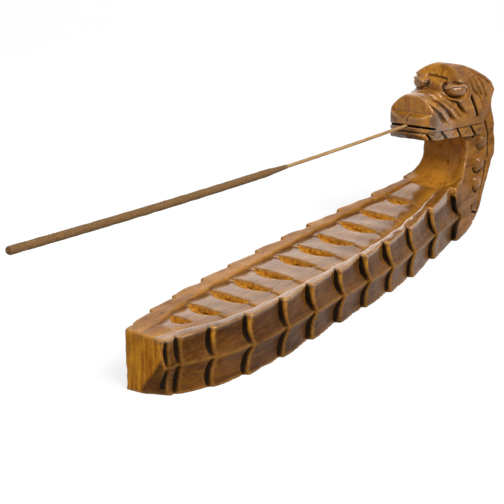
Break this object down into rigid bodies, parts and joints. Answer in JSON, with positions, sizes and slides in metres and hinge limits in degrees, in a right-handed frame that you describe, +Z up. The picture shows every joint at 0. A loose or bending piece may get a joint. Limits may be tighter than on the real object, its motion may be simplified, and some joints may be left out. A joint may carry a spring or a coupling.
{
  "type": "incense burner",
  "caption": "Carved wooden creature with a scaled trunk hollowed as an ash trough; its raised head holds an incense stick in the mouth over the trough.",
  "frame": {"origin": "on the flat base, on the long mid plane, midway between the tail end and the nape", "axes": "+X from the tail to the head, +Z up, Y across"},
  "size_m": [0.3008, 0.041, 0.0716],
  "materials": {
    "varnished_wood": "stained and varnished, dark in the cuts",
    "bamboo": "bare split bamboo",
    "incense_paste": "matt rolled powder"
  },
  "bodies": {
    "burner": {"carved_body": "varnished_wood"},
    "incense_stick": {"bamboo_core": "bamboo", "incense_paste": "incense_paste"}
  },
  "joints": [
    {"name": "stick_slide", "type": "slide", "parent": "burner", "child": "incense_stick", "axis": [-0.998, 0, 0.0628], "range_m": [0, 0.03]}
  ]
}
